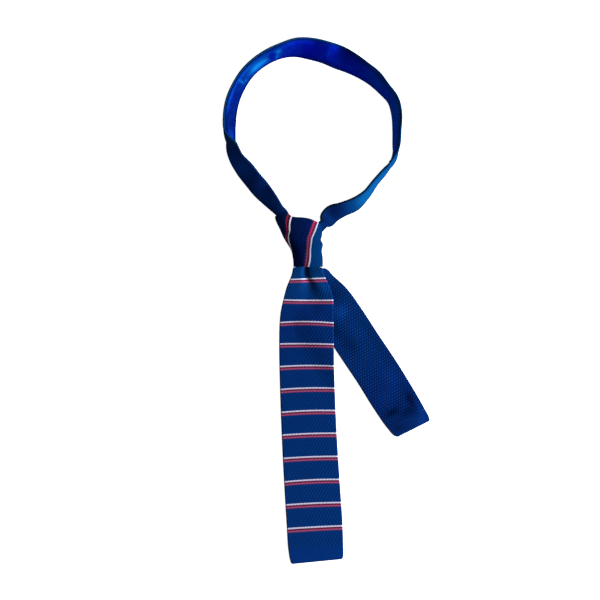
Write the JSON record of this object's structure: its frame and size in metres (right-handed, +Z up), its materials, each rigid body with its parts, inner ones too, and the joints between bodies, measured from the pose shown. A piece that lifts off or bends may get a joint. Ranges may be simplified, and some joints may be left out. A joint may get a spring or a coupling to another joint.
{
  "type": "knit necktie",
  "caption": "Striped knit necktie, ready tied and lying face up: front blade, plain tail blade behind it, slim knot, and a neck loop with a satin lining.",
  "frame": {"origin": "on the table, under the middle of the whole tie's outline", "axes": "+Z up from the table, +Y from the front blade's hem towards the neck loop, +X to the right of the tie as it is seen from above"},
  "size_m": [0.2274, 0.5786, 0.0271],
  "materials": {
    "striped_knit": "navy pique knit with narrow white and red crosswise stripes",
    "plain_knit": "plain navy pique knit",
    "wrap_knit": "navy pique knit with two white and red stripes down it",
    "neck_knit": "plain navy rib knit",
    "satin_lining": "smooth royal blue satin with fine wrinkles"
  },
  "bodies": {
    "root": {"front_blade": "striped_knit", "tail_blade": "plain_knit", "knot_wrap": "wrap_knit", "neck_band": "neck_knit", "neck_lining": "satin_lining"}
  },
  "joints": []
}
